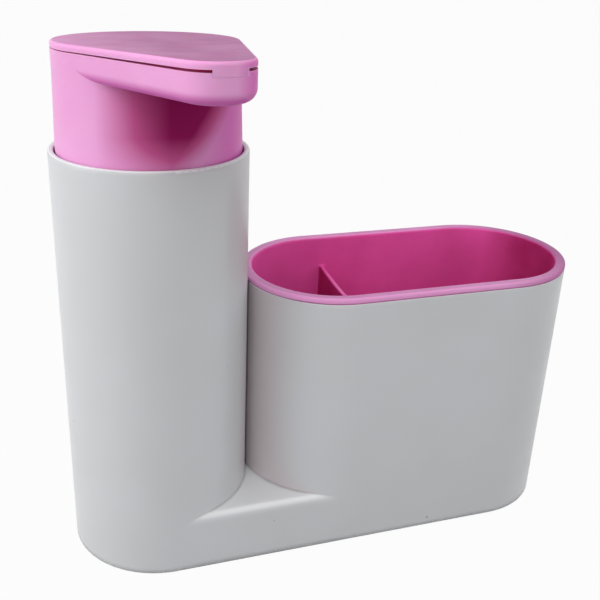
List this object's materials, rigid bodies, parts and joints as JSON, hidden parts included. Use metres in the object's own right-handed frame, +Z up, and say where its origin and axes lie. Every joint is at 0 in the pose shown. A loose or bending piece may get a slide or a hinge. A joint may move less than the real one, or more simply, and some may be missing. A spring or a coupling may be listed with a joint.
{
  "type": "soap pump caddy",
  "caption": "Countertop caddy with a round push-pump soap tower and an open stadium-shaped well holding a lift-out divided tray.",
  "frame": {"origin": "centre of the base's footprint, on the counter", "axes": "+X from the soap tower to the caddy well, -Y towards the front where the beak points, +Z up"},
  "size_m": [0.2078, 0.1023, 0.1988],
  "materials": {
    "white_plastic": "satin white moulding",
    "soft_ring": "matt soft grey",
    "pink_plastic": "fine matt pink moulding",
    "pump_plastic": "plain white moulding",
    "natural_plastic": "milky uncoloured plastic",
    "seal_rubber": "matt rubber",
    "valve_steel": "polished ball",
    "spring_steel": "drawn wire"
  },
  "bodies": {
    "shell": {"caddy_shell": "white_plastic", "base_ring": "soft_ring"},
    "tray": {"caddy_tray": "pink_plastic"},
    "pump": {"pump_carrier": "pump_plastic", "carrier_seal": "seal_rubber", "pump_collar": "pump_plastic", "neck_gasket": "seal_rubber", "pump_housing": "natural_plastic", "stem_guide": "pump_plastic", "ball_cage": "natural_plastic", "dip_tube": "natural_plastic", "return_spring": "spring_steel"},
    "plunger": {"piston_seal": "seal_rubber"},
    "head": {"pump_head": "pink_plastic", "head_cap": "pink_plastic", "spout_tube": "natural_plastic", "pump_stem": "pump_plastic", "piston_rod": "pump_plastic"},
    "inlet_valve": {"inlet_ball": "valve_steel"},
    "outlet_valve": {"outlet_ball": "valve_steel"}
  },
  "joints": [
    {"name": "tray_lift", "type": "slide", "parent": "shell", "child": "tray", "axis": [0, 0, 1], "range_m": [0, 0.095]},
    {"name": "pump_lift", "type": "slide", "parent": "shell", "child": "pump", "axis": [0, 0, 1], "range_m": [0, 0.155]},
    {"name": "pump_press", "type": "slide", "parent": "pump", "child": "plunger", "axis": [0, 0, -1], "range_m": [0, 0.013], "stiffness_N_per_m": 400, "springref_m": -0.008, "deforming": ["return_spring"]},
    {"name": "head_swivel", "type": "hinge", "parent": "plunger", "child": "head", "pos_m": [-0.0689, 0, 0.19], "axis": [0, 0, 1], "range_deg": [-100, 30]},
    {"name": "inlet_ball_lift", "type": "slide", "parent": "pump", "child": "inlet_valve", "axis": [0, 0, 1], "range_m": [0, 0.0016]},
    {"name": "outlet_ball_lift", "type": "slide", "parent": "head", "child": "outlet_valve", "axis": [0, 0, 1], "range_m": [0, 0.0014]}
  ]
}
